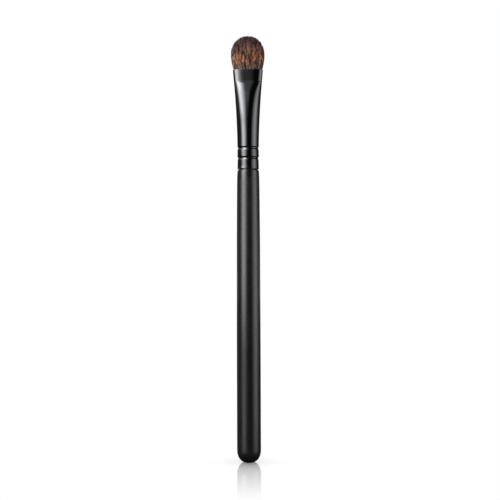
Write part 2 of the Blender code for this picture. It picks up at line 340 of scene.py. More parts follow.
def tubeSection(height, look=ferruleLook):  # half width, half thickness and fullness
    if height <= look["upperCrimp"]:
        lowBand = height <= look["lowerCrimp"]
        radius = look["lowerBandRadius"] if lowBand else look["upperBandRadius"]
        middle = (look["lowerCrimp"] + (look["bottom"] if lowBand else look["upperCrimp"])) / 2
        low = max(0.0, 1 - (height - look["bottom"]) / look["rimFlareHeight"])
        radius += look["bandLean"] * (middle - height) + look["rimFlare"] * low ** 2
        return radius, radius, 0.0
    halfWidth = tubeHalfWidth(height)
    pressed = look["pressedHalfThickness"]
    if height > look["crease"]:
        share = min((height - look["crease"]) / look["ledgeHeight"], 1.0)
        ledge = look["ledgeDepth"] * (1 + math.cos(math.pi * share)) / 2
        return halfWidth, pressed + ledge, tubeFullness(height)
    rise = (height - look["upperCrimp"]) / (look["crease"] - look["upperCrimp"])
    drawnIn = (tubeHalfWidth(look["crease"]) - pressed - look["ledgeDepth"]) * rise ** look["pressPower"]
    return halfWidth, halfWidth - drawnIn, tubeFullness(height)


def makeBlackMetal(look):
    material, tree, shader, place = startMaterial("blackMetal")
    edge = attributeOf(tree, "edge")
    grain = placeGroup(tree, fineGrain, {"Place": place, "Size": 0.1 * mm, "Stretch": 30.0})
    dust = placeGroup(tree, dustFilm, {"Place": place, "Spacing": 0.8 * mm, "Cover": 0.12})
    wear = placeGroup(tree, edgeWear, {"Place": place, "Edge": edge, "Size": 0.5 * mm})["Mask"]
    height = axisOf(tree, place, "Z")
    # painted shade: below the upper crimp the plating turns darker
    shadedBands = remap(tree, height, look["upperCrimp"] + 0.2 * mm, look["upperCrimp"] - 0.2 * mm)
    plating = mixColour(tree, grain["Tone"], *look["plating"])
    plating = mixColour(tree, shadedBands, plating, look["bandShadePlating"])
    worn = mixColour(tree, wear, plating, look["bareMetal"])
    colour = mixColour(tree, multiply(tree, dust["Specks"], 0.5), worn, look["dust"])
    roughness = addShare(tree, wear, 0.12, remap(tree, grain["Tone"], 0, 1, *look["roughness"]))
    roughness = addShare(tree, dust["Haze"], 0.03, roughness)
    tree.links.new(colour, shader.inputs["Base Color"])
    tree.links.new(roughness, shader.inputs["Roughness"])
    tree.links.new(bumpOf(tree, grain["Height"], 0.08, 0.01 * mm), shader.inputs["Normal"])
    shader.inputs["Metallic"].default_value = 1.0
    return material


def ferruleRings(look):  # closer together at the crimps, the ledge and the mouth
    heights = list(np.arange(look["bottom"], look["crease"], look["ringSpacing"]))
    half = look["crimpRings"] // 2
    for middle in (look["lowerCrimp"], look["upperCrimp"]):
        heights = [height for height in heights if abs(height - middle) > 0.55 * look["crimpWidth"]]
        for step in range(-half, half + 1):
            heights.append(middle + look["crimpWidth"] * step / look["crimpRings"])
    for step in range(look["ledgeRings"] + 1):
        heights.append(look["crease"] + look["ledgeHeight"] * step / look["ledgeRings"])
    heights += list(np.linspace(look["crease"] + look["ledgeHeight"], look["mouth"], 10)[1:])
    return sorted(heights)


def makeFerrule(look, material):
    def crimpedSection(height):
        halfWidth, halfThickness, fullness = tubeSection(height)
        return halfWidth - crimpDepth(height), halfThickness - crimpDepth(height), fullness

    bm = raiseTube(ferruleRings(look), look["sides"])
    pressOval(bm, crimpedSection)
    bm.normal_update()  # every face has to look out before the wall grows inwards
    inward = [face for face in bm.faces if face.normal.dot(face.calc_center_median() * Vector((1, 1, 0))) < 0]
    bmesh.ops.reverse_faces(bm, faces=inward)
    bmesh.ops.solidify(bm, geom=bm.faces[:], thickness=look["wall"])
    rims = [edge for edge in bm.edges if edge.is_manifold and edge.calc_face_angle() > math.radians(60)]
    bmesh.ops.bevel(bm, geom=rims, offset=look["lipRound"], offset_type="OFFSET", segments=4, profile=0.5,
                    affect="EDGES", material=-1)
    piece = finishPiece("ferruleShell", bm, material, "ferrule")
    markEdges(piece.data, look["edgeReach"], (look["bottom"], look["mouth"]))


makeFerrule(ferruleLook, makeBlackMetal(ferruleLook))


# Handle: turned wood under black satin lacquer

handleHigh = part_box("handle")[1]
handleLook = {
    "sides": 128,
    "barrelRadius": handleHigh.x,
    "barrelTaper": 0.35 * mm,  # how much slimmer the barrel is under the ferrule
    "taperPower": 4.2,
    "buttHeight": 5.2 * mm,
    "buttPower": 2.4,  # 2 would be a half ellipsoid, and more is blunter
    "footRadius": 1.8 * mm,
    "shoulderTop": ferruleLook["bottom"] - seatGap,
    "shoulderRound": 0.55 * mm,
    "shoulderLean": 0.1 * mm,  # how far the last stretch under the ferrule leans in
    "leanHeight": 3.2 * mm,
    "tenonRadius": 3.45 * mm,
    "tenonTop": handleHigh.z,
    "tenonChamfer": 0.7 * mm,
    "buttRings": 24,
    "barrelRings": 36,
    "leanRings": 12,
    "shoulderRings": 7,
    "grooveRings": 8,
    "edgeReach": 0.6 * mm,  # how far from its foot and its shoulder the lacquer is rubbed
    "coat": ((0.0036, 0.0036, 0.0038, 1), (0.005, 0.0049, 0.0052, 1)),  # the tones that it drifts between
    "thinCoat": (0.02, 0.018, 0.017, 1),
    "dust": (0.12, 0.115, 0.11, 1),
    "roughness": (0.26, 0.31),
    "pooled": 0.4,  # share of the roughness where the coat pools under the ferrule
    "handled": (0.8, 0.95),  # the hand has polished it, more so towards the butt
}


def handleProfile(look):
    bend = 2 / look["buttPower"]
    start = math.asin((look["footRadius"] / look["barrelRadius"]) ** (1 / bend))
    profile = []  # radius and height, from the foot up
    for turn in np.linspace(start, math.pi / 2, look["buttRings"]):
        rise = math.cos(start) ** bend - abs(math.cos(turn)) ** bend
        profile.append((look["barrelRadius"] * math.sin(turn) ** bend, look["buttHeight"] * rise))
    barrelBottom = profile[-1][1]
    barrelTop = look["shoulderTop"] - look["shoulderRound"]
    leanStart = barrelTop - look["leanHeight"]
    barrel = list(np.linspace(barrelBottom, leanStart, look["barrelRings"])[1:])
    barrel += list(np.linspace(leanStart, barrelTop, look["leanRings"])[1:])
    for height in barrel:
        share = (height - barrelBottom) / (barrelTop - barrelBottom)
        lean = max(0.0, (height - leanStart) / look["leanHeight"]) ** 2
        radius = look["barrelRadius"] - look["barrelTaper"] * share ** look["taperPower"]
        profile.append((radius - look["shoulderLean"] * lean, height))
    shoulderMiddle = profile[-1][0] - look["shoulderRound"]
    for turn in np.linspace(0, math.pi / 2, look["shoulderRings"])[1:]:
        profile.append((shoulderMiddle + look["shoulderRound"] * math.cos(turn),
                        barrelTop + look["shoulderRound"] * math.sin(turn)))
    profile.append((look["tenonRadius"], look["shoulderTop"]))
    half = look["grooveRings"] // 2
    for middle in (ferruleLook["lowerCrimp"], ferruleLook["upperCrimp"]):  # grooves that the crimps roll into
        for step in range(-half, half + 1):
            height = middle + ferruleLook["crimpWidth"] * step / look["grooveRings"]
            profile.append((look["tenonRadius"] - crimpDepth(height), height))
    profile.append((look["tenonRadius"], look["tenonTop"] - look["tenonChamfer"]))
    profile.append((look["tenonRadius"] - look["tenonChamfer"], look["tenonTop"]))
    return profile


def makeBlackLacquer(look):
    material, tree, shader, place = startMaterial("blackLacquer")
    edge = attributeOf(tree, "edge")
    grain = placeGroup(tree, fineGrain, {"Place": place, "Size": 0.35 * mm, "Stretch": 3.0})
    dust = placeGroup(tree, dustFilm, {"Place": place, "Spacing": 1.1 * mm, "Cover": 0.1})
    wear = placeGroup(tree, edgeWear, {"Place": place, "Edge": edge, "Size": 0.6 * mm})["Mask"]
    coat = mixColour(tree, grain["Tone"], *look["coat"])
    worn = mixColour(tree, multiply(tree, wear, 0.6), coat, look["thinCoat"])
    colour = mixColour(tree, multiply(tree, dust["Specks"], 0.35), worn, look["dust"])
    height = axisOf(tree, place, "Z")
    below = mathNode(tree, "SUBTRACT", look["shoulderTop"], height)
    pooled = remap(tree, below, 1 * mm, 4 * mm, look["pooled"], 1, smooth=True)
    handled = remap(tree, height, 10 * mm, 110 * mm, *look["handled"])
    satin = addShare(tree, dust["Haze"], 0.04, remap(tree, grain["Tone"], 0, 1, *look["roughness"]))
    satin = multiply(tree, satin, pooled, handled)
    tree.links.new(colour, shader.inputs["Base Color"])
    tree.links.new(addShare(tree, wear, 0.1, satin), shader.inputs["Roughness"])
    tree.links.new(bumpOf(tree, grain["Height"], 0.12, 0.012 * mm), shader.inputs["Normal"])
    shader.inputs["IOR"].default_value = 1.68
    return material


def makeHandle(look, material):
    bm = bmesh.new()
    points = [bm.verts.new((radius, 0, height)) for radius, height in handleProfile(look)]
    outline = [bm.edges.new(pair) for pair in zip(points, points[1:])]
    bmesh.ops.spin(bm, geom=points + outline, cent=(0, 0, 0), axis=(0, 0, 1), angle=math.tau,
                   steps=look["sides"], use_merge=True)
    bmesh.ops.holes_fill(bm, edges=bm.edges[:], sides=look["sides"])
    bmesh.ops.recalc_face_normals(bm, faces=bm.faces)
    piece = finishPiece("lacqueredHandle", bm, material, "handle")
    markEdges(piece.data, look["edgeReach"], (0.0, look["shoulderTop"]))


makeHandle(handleLook, makeBlackLacquer(handleLook))


# Knot: the bound root of the hair, which fills the ferrule's mouth

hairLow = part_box("hair_tuft")[0]
bindingLow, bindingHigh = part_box("root_binding")
knotLook = {
    "sides": 168,
    "rings": 40,
    "bottom": hairLow.z,
    "top": ferruleLook["mouth"] - 1.0 * mm,
    "rootHalfWidth": 3.25 * mm,
    "rootHalfThickness": 2.35 * mm,
    "waist": (bindingLow.z + bindingHigh.z) / 2,
    "waistSpread": (bindingHigh.z - bindingLow.z) / 2,
    "waistPinch": 0.25 * mm,  # how far the binding draws the root in
    "furrows": 56,
    "furrowDepth": 0.05 * mm,
}


def knotSection(height, look=knotLook):
    share = min((height - look["bottom"]) / (ferruleLook["crease"] - look["bottom"]), 1.0)
    grown = share * share * (3 - 2 * share)
    halfWidth = tubeHalfWidth(height) - ferruleLook["wall"] - seatGap
    halfThickness = ferruleLook["pressedHalfThickness"] - ferruleLook["wall"] - seatGap
    pinch = look["waistPinch"] * math.exp(-((height - look["waist"]) / look["waistSpread"]) ** 2)
    return (look["rootHalfWidth"] + (halfWidth - look["rootHalfWidth"]) * grown - pinch,
            look["rootHalfThickness"] + (halfThickness - look["rootHalfThickness"]) * grown - pinch,
            tubeFullness(height) * grown)


def makeKnot(look, material):
    bm = raiseTube(list(np.linspace(look["bottom"], look["top"], look["rings"])), look["sides"])
    turns = [math.atan2(vert.co.y, vert.co.x) for vert in bm.verts]
    pressOval(bm, knotSection)
    for vert, turn in zip(bm.verts, turns):  # the hairs lie side by side
        depth = look["furrowDepth"] * (0.5 + 0.5 * math.sin(look["furrows"] * turn)) ** 0.5
        vert.co.x -= depth * math.cos(turn)
        vert.co.y -= depth * math.sin(turn)
    bmesh.ops.holes_fill(bm, edges=bm.edges[:], sides=look["sides"])
    bmesh.ops.recalc_face_normals(bm, faces=bm.faces)
    mesh = finishPiece("boundRoot", bm, material, "hair_tuft", smoothAngle=60).data
    for tone in ("hairTone", "tuftTone"):
        paint(mesh, tone, np.full(len(mesh.vertices), 0.3))
    places = placesOf(mesh)
    places[:, 2] = hairLook["length"]  # as far from the tip as the roots are
    paint(mesh, "hairPlace", places)


# Hair: tapered strands that fan out of the knot to a dome

hairLook = {
    "groups": {"coreHair": 1500, "innerHair": 2600, "coatHair": 3600},  # from the middle outwards
    "top": 165.05 * mm,
    "length": 14.0 * mm,
    "belly": 157.5 * mm,
    "bellyHalfWidth": 6.5 * mm,
    "bellyHalfThickness": 2.85 * mm,
    "tipHalfWidth": 5.75 * mm,
    "tipHalfThickness": 2.2 * mm,
    "domePower": 2.22,  # 2 would be an ellipsoid, and more is fuller towards its top
    "lowestTip": ferruleLook["mouth"] + 3 * mm,
    "sunk": 0.4 * mm,  # how far a strand starts below the knot's top
    "levels": (0.0, 0.14, 0.28, 0.42, 0.56, 0.7, 0.82, 0.92, 1.0),  # rings, as shares of a strand's length
    "radii": (0.048, 0.054, 0.058, 0.061, 0.063, 0.061, 0.053, 0.033, 0.0),  # there, in millimetres
    "lengthScatter": 0.3 * mm,
    "rootScatter": (0.004, 0.01),  # shares of the half width and the half thickness
    "tufts": 220,
    "tuftPull": 0.52,  # how far a tuft's tips close up
    "pullSpread": (0.4, 1.0),
    "tuftLean": 0.33 * mm,
    "tuftWave": 0.2 * mm,
    "tuftWaves": 2.6,  # over the length of the hair
    "tuftLength": 0.15 * mm,  # how much shorter some tufts are
    "tipLean": -0.09 * mm,
    "wave": 0.08 * mm,
    "waves": (0.5, 1.4),  # over the length of a strand
    "seed": 11,
    "toneLevels": (0.06, 0.24, 0.42, 0.6, 0.74, 0.86),  # shares of the length, from the tip down
    "darkTones": (rgb(48, 25, 25), rgb(42, 21, 17), rgb(40, 19, 12),
                  rgb(46, 21, 11), rgb(35, 23, 18), rgb(34, 30, 29)),
    "paleTones": (rgb(108, 80, 80), rgb(118, 87, 79), rgb(160, 117, 95),
                  rgb(204, 148, 116), rgb(168, 128, 110), rgb(150, 130, 124)),
    "golden": rgb(192, 154, 100),
    "ginger": rgb(186, 84, 42),
    "toneShift": 1.0 * mm,  # how far up or down a patch or a tuft takes its tones
    "streakWidth": 0.5 * mm,
    "streakLength": 1.3 * mm,
    "roughness": (0.45, 0.65),
}


def hairOutline(heights, look=hairLook):  # half width and half thickness of the whole tuft
    halfWidth, halfThickness = knotSection(knotLook["top"])[:2]
    opened = 1 - np.clip((look["belly"] - heights) / (look["belly"] - knotLook["top"]), 0, 1) ** 2
    closed = np.clip((heights - look["belly"]) / (look["top"] - look["belly"]), 0, 1) ** 2
    return (halfWidth + (look["bellyHalfWidth"] - halfWidth) * opened
            + (look["tipHalfWidth"] - look["bellyHalfWidth"]) * closed,
            halfThickness + (look["bellyHalfThickness"] - halfThickness) * opened
            + (look["tipHalfThickness"] - look["bellyHalfThickness"]) * closed)


evenSteps = (0.7548776662, 0.5698402910)  # steps of these two shares never bunch the spots up


def evenSpots(count, start):  # spread evenly over a disc of radius 1, as x and y
    number = np.arange(count) + start
    reach = np.sqrt((evenSteps[0] * number) % 1)
    turn = math.tau * ((evenSteps[1] * number) % 1)
    return reach * np.cos(turn), reach * np.sin(turn)


def tipHeights(across, through, look=hairLook):  # where each strand meets the dome
    heights = np.linspace(look["top"], look["lowestTip"], 500)
    halfWidth, halfThickness = hairOutline(heights)
    wide = np.hypot(across[:, None] * halfWidth / look["bellyHalfWidth"],
                    through[:, None] * halfThickness / look["bellyHalfThickness"])
    high = np.clip((heights - look["belly"]) / (look["top"] - look["belly"]), 0, 1)
    inside = wide ** look["domePower"] + high ** look["domePower"] <= 1
    return heights[inside.argmax(axis=1)]


def makeStrands(count, levels):  # one three-sided strand of height 1, copied until there are enough
    bm = bmesh.new()
    bmesh.ops.create_cone(bm, cap_ends=True, segments=3, radius1=1.0, radius2=0.0, depth=1.0,
                          matrix=Matrix.Translation((0, 0, 0.5)))
    bmesh.ops.remove_doubles(bm, verts=bm.verts, dist=1e-5)
    for level in levels[1:-1]:
        bmesh.ops.bisect_plane(bm, geom=bm.verts[:] + bm.edges[:] + bm.faces[:], dist=1e-6,
                               plane_co=(0, 0, level), plane_no=(0, 0, 1))
    strand = [(bm.verts, len(bm.verts)), (bm.edges, len(bm.edges)), (bm.faces, len(bm.faces))]
    made = 1
    while made < count:
        more = min(made, count - made)
        copied = [part for parts, size in strand for part in parts[:more * size]]
        bmesh.ops.duplicate(bm, geom=copied)
        made += more
    return bm, strand[0][1]


def layStrands(look):  # each strand's line, twist, tone, tuft's tone, and place across the tuft
    rng = np.random.default_rng(look["seed"])
    count = sum(look["groups"].values())
    across, through = evenSpots(count, 1)
    across = across + rng.normal(0, look["rootScatter"][0], count)
    through = through + rng.normal(0, look["rootScatter"][1], count)
    reach = np.hypot(across, through)
    squeeze = np.minimum(1.0, 0.995 / np.maximum(reach, 1e-6))  # none starts outside the knot
    order = np.argsort(reach, kind="stable")
    across, through = (across * squeeze)[order], (through * squeeze)[order]

    tuftAcross, tuftThrough = evenSpots(look["tufts"], 0.5)
    spread = np.hypot((across[:, None] - tuftAcross) * look["bellyHalfWidth"],
                      (through[:, None] - tuftThrough) * look["bellyHalfThickness"])
    tuft = spread.argmin(axis=1)
    tuftTone = rng.random(look["tufts"])[tuft]
    inner = 1 - np.hypot(across, through) ** 4  # the outermost hair doesn't lean
    pull = look["tuftPull"] * rng.uniform(*look["pullSpread"], count) * (0.5 + 0.5 * inner)
    lean = rng.normal(0, look["tuftLean"], (2, look["tufts"]))[:, tuft] * inner
    endAcross = across + (tuftAcross[tuft] - across) * pull + lean[0] / look["bellyHalfWidth"]
    endThrough = through + (tuftThrough[tuft] - through) * pull + lean[1] / look["bellyHalfThickness"]

    tips = tipHeights(endAcross, endThrough) - look["lengthScatter"] * rng.random(count) ** 1.5
    tips = tips - look["tuftLength"] * rng.random(look["tufts"])[tuft]
    root = knotLook["top"] - look["sunk"]
    levels = np.array(look["levels"])
    heights = root + (tips[:, None] - root) * levels
    halfWidth, halfThickness = hairOutline(heights)
    free = np.clip((heights - ferruleLook["mouth"]) / (tips[:, None] - ferruleLook["mouth"]), 0, 1)
    drawn = free ** 1.3
    x = halfWidth * (across[:, None] + (endAcross - across)[:, None] * drawn)
    y = halfThickness * (through[:, None] + (endThrough - through)[:, None] * drawn)
    y *= 1 + tubeFullness(root) * across[:, None] ** 2 * (1 - free)
    x += look["tipLean"] * free
    tuftPhase = rng.uniform(0, math.tau, (2, look["tufts"]))[:, tuft, None]
    swing = np.sin(tuftPhase + math.tau * look["tuftWaves"] * free)
    swing = look["tuftWave"] * swing * np.sin(math.pi * free) ** 0.5 * inner[:, None]
    phase = rng.uniform(0, math.tau, (2, count, 1))
    pace = rng.uniform(*look["waves"], (2, count, 1))
    sway = look["wave"] * np.sin(phase + math.tau * pace * levels) * levels
    lines = np.stack([x + sway[0] + swing[0], y + sway[1] + swing[1], heights], axis=2)
    twist = rng.uniform(0, math.tau, count)
    tone = rng.random(count)
    place = np.stack([across * look["bellyHalfWidth"], through * look["bellyHalfThickness"]], axis=1)
    return lines, twist, tone, tuftTone, place


def makeHair(look, material):
    lines, twist, tone, tuftTone, place = layStrands(look)
    levels = np.array(look["levels"])
    first = 0
    for name, count in look["groups"].items():
        bm, points = makeStrands(count, look["levels"])
        mesh = finishPiece(name, bm, material, "hair_tuft", smoothAngle=180).data
        strand = placesOf(mesh)[:points]  # every strand starts as a copy of this one
        level = np.abs(strand[:, 2:3] - levels).argmin(axis=1)
        turn = np.arctan2(strand[:, 1], strand[:, 0])
        group = slice(first, first + count)
        radius = np.array(look["radii"])[level] * mm
        angle = turn + twist[group, None]
        spots = lines[group][:, level]
        spots[:, :, 0] += radius * np.cos(angle)
        spots[:, :, 1] += radius * np.sin(angle)
        mesh.vertices.foreach_set("co", spots.astype(np.float32).ravel())
        mesh.update()
        paint(mesh, "hairTone", np.repeat(tone[group], points))
        paint(mesh, "tuftTone", np.repeat(tuftTone[group], points))
        fromTip = lines[group][:, -1:, 2] - spots[:, :, 2]
        across = np.repeat(place[group][:, None], points, axis=1)
        paint(mesh, "hairPlace", np.concatenate([across, fromTip[:, :, None]], axis=2).reshape(-1, 3))
        first += count
    print("hair laid,", first, "strands")


def makeBrownHair(look):
    material, tree, shader, place = startMaterial("brownHair")
    root = attributeOf(tree, "hairPlace", "Vector")  # across the tuft, and down from the strand's tip
    tone = attributeOf(tree, "hairTone")
    tuftTone = attributeOf(tree, "tuftTone")
    size = {"Width": look["streakWidth"], "Length": look["streakLength"]}
    streaks = placeGroup(tree, hairStreaks, {"Place": root, **size})
    fromTop = mathNode(tree, "SUBTRACT", look["top"], axisOf(tree, place, "Z"))
    down = addShare(tree, axisOf(tree, root, "Z"), 0.3, multiply(tree, fromTop, 0.7))
    for shift in (streaks["Broad"], tuftTone):
        down = addShare(tree, remap(tree, shift, 0, 1, -1, 1), look["toneShift"], down)
    along = mathNode(tree, "DIVIDE", down, look["length"])
    dark = colourRamp(tree, along, look["toneLevels"], look["darkTones"])
    pale = colourRamp(tree, along, look["toneLevels"], look["paleTones"])
    fromBand = mathNode(tree, "ABSOLUTE", mathNode(tree, "SUBTRACT", along, 0.55))
    banded = remap(tree, fromBand, 0.08, 0.22, 1, 0)  # gold and ginger show in a band above the ferrule
    golden = multiply(tree, remap(tree, streaks["Broad"], 0.5, 0.9, 0, 0.55), banded)
    pale = mixColour(tree, golden, pale, look["golden"])
    pale = mixColour(tree, multiply(tree, streaks["Fleck"], banded), pale, look["ginger"])
    lit = addShare(tree, tuftTone, 0.3, multiply(tree, streaks["Fine"], 0.75))
    lit = remap(tree, addShare(tree, tone, 0.2, lit), 0.38, 1.04)
    tree.links.new(mixColour(tree, lit, dark, pale), shader.inputs["Base Color"])
    tree.links.new(remap(tree, tone, 0, 1, *look["roughness"]), shader.inputs["Roughness"])
    shader.inputs["Specular IOR Level"].default_value = 0.2
    return material


brownHair = makeBrownHair(hairLook)
makeKnot(knotLook, brownHair)
makeHair(hairLook, brownHair)


# Binding: waxed thread wound round the knot's waist

threadLook = {
    "turns": 4,
    "diameter": 0.53 * mm,
    "sides": 12,
    "stepsPerTurn": 64,
    "coilRadius": 3.0 * mm,  # of the round coil, before it takes the knot's oval
    "tones": (rgb(196, 182, 156), rgb(226, 216, 194)),
    "dust": rgb(170, 150, 118),
    "roughness": (0.45, 0.65),
}


def makeWaxedThread(look):
    material, tree, shader, place = startMaterial("waxedThread")
    grain = placeGroup(tree, fineGrain, {"Place": place, "Size": 0.05 * mm, "Stretch": 0.5})
    dust = placeGroup(tree, dustFilm, {"Place": place, "Spacing": 0.5 * mm, "Cover": 0.2})
    colour = mixColour(tree, grain["Height"], *look["tones"])
    colour = mixColour(tree, multiply(tree, dust["Haze"], 0.3), colour, look["dust"])
    tree.links.new(colour, shader.inputs["Base Color"])
    tree.links.new(remap(tree, grain["Tone"], 0, 1, *look["roughness"]), shader.inputs["Roughness"])
    tree.links.new(bumpOf(tree, grain["Height"], 0.4, 0.03 * mm), shader.inputs["Normal"])
    shader.inputs["Subsurface Weight"].default_value = 0.1
    return material


def makeThread(look, material):
    bm = bmesh.new()
    radius = look["diameter"] / 2
    pitch = (bindingHigh.z - bindingLow.z) / look["turns"]
    wound = look["turns"] - 1  # a turn less, and the thread's own thickness, fill the binding's height
    start = Matrix.Translation((look["coilRadius"], 0, bindingLow.z + radius))
    section = start @ Matrix.Rotation(math.radians(90), 4, "X")
    bmesh.ops.create_circle(bm, segments=look["sides"], radius=radius, matrix=section)
    bmesh.ops.spin(bm, geom=bm.verts[:] + bm.edges[:], cent=(0, 0, 0), axis=(0, 0, 1), angle=math.tau * wound,
                   steps=look["stepsPerTurn"] * wound, dvec=(0, 0, pitch / look["stepsPerTurn"]))
    bmesh.ops.holes_fill(bm, edges=bm.edges[:], sides=look["sides"])
    for vert in bm.verts:  # the coil is pressed to the knot's oval
        halfWidth, halfThickness = (half + seatGap + radius for half in knotSection(vert.co.z)[:2])
        turn = math.atan2(vert.co.y, vert.co.x)
        outward = Vector((halfThickness * math.cos(turn), halfWidth * math.sin(turn), 0)).normalized()
        offset = math.hypot(vert.co.x, vert.co.y) - look["coilRadius"]
        vert.co.x = halfWidth * math.cos(turn) + offset * outward.x
        vert.co.y = halfThickness * math.sin(turn) + offset * outward.y
    bmesh.ops.recalc_face_normals(bm, faces=bm.faces)
    finishPiece("bindingThread", bm, material, "root_binding")


makeThread(threadLook, makeWaxedThread(threadLook))


# Plug: the frame's own solid, in amber resin

plugLook = {
    "tones": (rgb(188, 128, 58), rgb(208, 156, 84)),
    "dust": rgb(240, 214, 160),
    "roughness": (0.16, 0.3),
    "glow": (0.8 * mm, 0.4 * mm, 0.15 * mm),  # how far light goes into it
}


def makeAmberResin(look):
    material, tree, shader, place = startMaterial("amberResin")
    grain = placeGroup(tree, fineGrain, {"Place": place, "Size": 0.4 * mm, "Stretch": 1.0})
    dust = placeGroup(tree, dustFilm, {"Place": place, "Spacing": 0.6 * mm, "Cover": 0.25})
    colour = mixColour(tree, grain["Tone"], *look["tones"])
    colour = mixColour(tree, multiply(tree, dust["Specks"], 0.5), colour, look["dust"])
    tree.links.new(colour, shader.inputs["Base Color"])
    tree.links.new(remap(tree, grain["Height"], 0.3, 0.7, *look["roughness"]), shader.inputs["Roughness"])
    tree.links.new(bumpOf(tree, grain["Height"], 0.15, 0.05 * mm), shader.inputs["Normal"])
    shader.inputs["IOR"].default_value = 1.55
    shader.inputs["Subsurface Weight"].default_value = 0.3
    shader.inputs["Subsurface Radius"].default_value = look["glow"]
    return material


def finishPlug(material):
    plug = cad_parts["resin_plug"]
    plug.data.materials.clear()
    plug.data.materials.append(material)
    print("plug finished")


finishPlug(makeAmberResin(plugLook))


# Lamps: plain softboxes that stand round the brush

# Sides and spreads are in degrees, from the camera's side of the brush to the right. The fades are shares
# of half a box's width, innerFade towards the camera's side and outerFade away from it. lowest and highest
# are how bright a box is at its bottom and its top.
lampLook = {
    "lowKeyLamp": {
        "side": -48.5, "spread": 78, "distance": 420 * mm,
        "innerFade": (-0.25, 0.95), "outerFade": (-0.15, 0.78),
        "low": 0.0, "high": 190.5 * mm, "lowFade": 52 * mm, "highFade": 27 * mm,
        "lowest": 5.2, "highest": 6.1,
    },
    "highKeyLamp": {
        "side": -48.5, "spread": 80, "distance": 422 * mm,
        "innerFade": (-0.15, 0.87), "outerFade": (0.03, 0.93),
        "low": 168 * mm, "high": 900 * mm, "lowFade": 27 * mm, "highFade": 10 * mm,
        "lowest": 5.7, "highest": 10.0,
    },
    "washLamp": {
        "side": -19, "spread": 38, "distance": 420 * mm,
        "innerFade": (-0.3, 1.0), "outerFade": (-0.3, 1.0),
        "low": 70 * mm, "high": 500 * mm, "lowFade": 60 * mm, "highFade": 80 * mm,
        "lowest": 0.2, "highest": 0.32,
    },
    "fillLamp": {
        "side": 70, "spread": 84, "distance": 420 * mm,
        "innerFade": (-0.2, 1.0), "outerFade": (-0.15, 0.95),
        "low": 0.0, "high": 460 * mm, "lowFade": 10 * mm, "highFade": 130 * mm,
        "lowest": 2.4, "highest": 1.25,
    },
    "backLamp": {
        "side": 172, "spread": 36, "distance": 460 * mm,
        "innerFade": (0.4, 1.0), "outerFade": (0.4, 1.0),
        "low": 300 * mm, "high": 640 * mm, "lowFade": 60 * mm, "highFade": 60 * mm,
        "lowest": 3.0, "highest": 3.0,
    },
}


def addSoftbox(name, look):
    turn = math.radians(cameraLook["side"] + look["side"])
    across = Vector((math.cos(turn), math.sin(turn), 0))  # along the box, to the right
    outward = Vector((math.sin(turn), -math.cos(turn), 0))
    halfWidth = look["distance"] * math.tan(math.radians(look["spread"] / 2))
    tall = look["high"] - look["low"]
    brightest = max(look["lowest"], look["highest"])
    data = bpy.data.lights.new(name, "AREA")
    data.shape = "RECTANGLE"
    data.size = 2 * halfWidth
    data.size_y = tall
    data.energy = math.pi * 2 * halfWidth * tall * brightest
    data.use_nodes = True
    tree = data.node_tree
    place = addNode(tree, "NewGeometry").outputs["Position"]
    aside = addNode(tree, "VectorMath", {0: place, 1: across}, operation="DOT_PRODUCT").outputs["Value"]
    height = axisOf(tree, place, "Z")
    inward = multiply(tree, aside, math.copysign(1 / halfWidth, -look["side"]))
    inner = remap(tree, inward, *look["innerFade"], 1, 0, smooth=True)
    outer = remap(tree, multiply(tree, inward, -1), *look["outerFade"], 1, 0, smooth=True)
    bottom = remap(tree, height, look["low"], look["low"] + look["lowFade"], smooth=True)
    top = remap(tree, height, look["high"], look["high"] - look["highFade"], smooth=True)
    shares = look["lowest"] / brightest, look["highest"] / brightest
    radiance = remap(tree, height, look["low"], look["high"], *shares)
    strength = multiply(tree, radiance, inner, outer, bottom, top)
    tree.links.new(strength, tree.nodes["Emission"].inputs["Strength"])
    lamp = bpy.data.objects.new(name, data)
    scene.collection.objects.link(lamp)
    lamp.rotation_mode = "QUATERNION"
    lamp.rotation_quaternion = (-outward).to_track_quat("-Z", "Y")
    lamp.location = outward * look["distance"] + Vector((0, 0, (look["low"] + look["high"]) / 2))
    lamp.visible_camera = False


for name, look in lampLook.items():
    addSoftbox(name, look)
print("lamps set")


# World: white behind the brush, and dim all round, apart from what glossy surfaces see high up on the left

worldLook = {
    "ambient": 0.75,  # what dull surfaces get
    "mirrorFront": 0.012,  # what glossy surfaces see level with them
    "mirrorSide": 0.09,
    "sideRise": (0.5, 0.95),
    "mirrorTop": 0.33,  # above them, to the left
    "topEdge": (0.09, -0.08),
    "topRise": (0.1, 0.4),
    "mirrorHigh": 1.6,  # well above them, to the far left
    "highEdge": (-0.2, -0.5),
    "highRise": (0.5, 0.8),
    "backdrop": (0.9, 0.94),  # how square to the camera's line the backdrop begins
}


